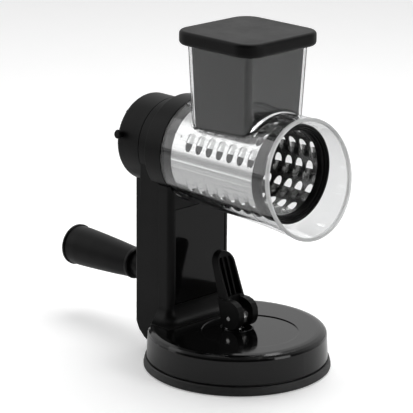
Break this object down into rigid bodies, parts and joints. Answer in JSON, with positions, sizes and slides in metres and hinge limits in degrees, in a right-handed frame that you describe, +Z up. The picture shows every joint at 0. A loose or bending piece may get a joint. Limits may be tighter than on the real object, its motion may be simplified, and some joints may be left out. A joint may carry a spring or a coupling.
{
  "type": "rotary vegetable shredder",
  "caption": "Table-top rotary shredder on a round suction foot, with a crank, a punched steel drum in a clear cone and a square pusher chute.",
  "frame": {"origin": "centre of the round foot, on the plane that the rubber pad stands on", "axes": "+Z up, +X along the drum's axis from the crank to the open mouth, +Y away from the side the picture shows"},
  "size_m": [0.2556, 0.14, 0.256],
  "materials": {
    "gloss_black": "high gloss",
    "matt_black": "fine satin grain",
    "dark_plastic": "satin",
    "white_plastic": "smooth",
    "black_rubber": "matt",
    "clear_plastic": "clear moulded plastic",
    "bright_steel": "bright",
    "steel": "plain",
    "bronze": "sintered, plain"
  },
  "bodies": {
    "chassis": {"base_housing": "gloss_black", "suction_cup": "black_rubber", "cup_clamp_ring": "matt_black", "cup_ring_screws": "steel", "cam_wear_plate": "matt_black", "column_shell": "matt_black", "column_front_cover": "matt_black", "column_front_panel": "gloss_black", "column_screws": "steel", "cover_screws": "steel", "head_collar": "matt_black", "collar_screws": "steel", "shaft_bush_rear": "bronze", "shaft_bush_front": "bronze"},
    "stem": {"suction_stem": "bright_steel", "stem_foot_plate": "steel", "stem_nut": "steel", "suction_spring": "steel"},
    "lever": {"suction_lever": "matt_black", "lever_pin": "bright_steel"},
    "crank": {"drive_shaft": "steel", "thrust_washer": "white_plastic", "crank_arm": "matt_black", "hub_disc": "matt_black", "crank_screw": "steel", "grip_spindle": "bright_steel", "button_spring": "steel"},
    "button": {"hub_button": "gloss_black"},
    "handle": {"grip": "matt_black", "grip_collar": "gloss_black", "grip_end_cap": "matt_black"},
    "drum": {"drum_sheet": "bright_steel", "drum_front_ring": "matt_black", "drum_rear_hub": "matt_black"},
    "housing": {"clear_housing": "clear_plastic"},
    "pusher": {"pusher_body": "dark_plastic", "pusher_cap": "matt_black"}
  },
  "joints": [
    {"name": "stem_lift", "type": "slide", "parent": "chassis", "child": "stem", "axis": [0, 0, 1], "range_m": [0, 0.004], "deforming": ["suction_spring"]},
    {"name": "lever_turn", "type": "hinge", "parent": "stem", "child": "lever", "pos_m": [0, 0, 0.0375], "axis": [0, 1, 0], "range_deg": [0, 100]},
    {"name": "crank_turn", "type": "hinge", "parent": "chassis", "child": "crank", "pos_m": [-0.08, 0, 0.1583], "axis": [1, 0, 0], "continuous": true},
    {"name": "button_press", "type": "slide", "parent": "crank", "child": "button", "axis": [0, 0.9755, -0.2198], "range_m": [0, 0.002], "stiffness_N_per_m": 400},
    {"name": "grip_turn", "type": "hinge", "parent": "crank", "child": "handle", "pos_m": [-0.145, 0, 0.0535], "axis": [1, 0, 0], "continuous": true},
    {"name": "drum_pull", "type": "slide", "parent": "crank", "child": "drum", "axis": [1, 0, 0], "range_m": [0, 0.12]},
    {"name": "housing_twist", "type": "hinge", "parent": "chassis", "child": "housing", "pos_m": [0, 0, 0.1583], "axis": [1, 0, 0], "range_deg": [-25, 0]},
    {"name": "pusher_lift", "type": "slide", "parent": "housing", "child": "pusher", "axis": [0, 0, 1], "range_m": [0, 0.08]}
  ],
  "couplings": [
    {"joint": "stem_lift", "follows": "lever_turn", "m_per_rad": 0.0022918}
  ]
}
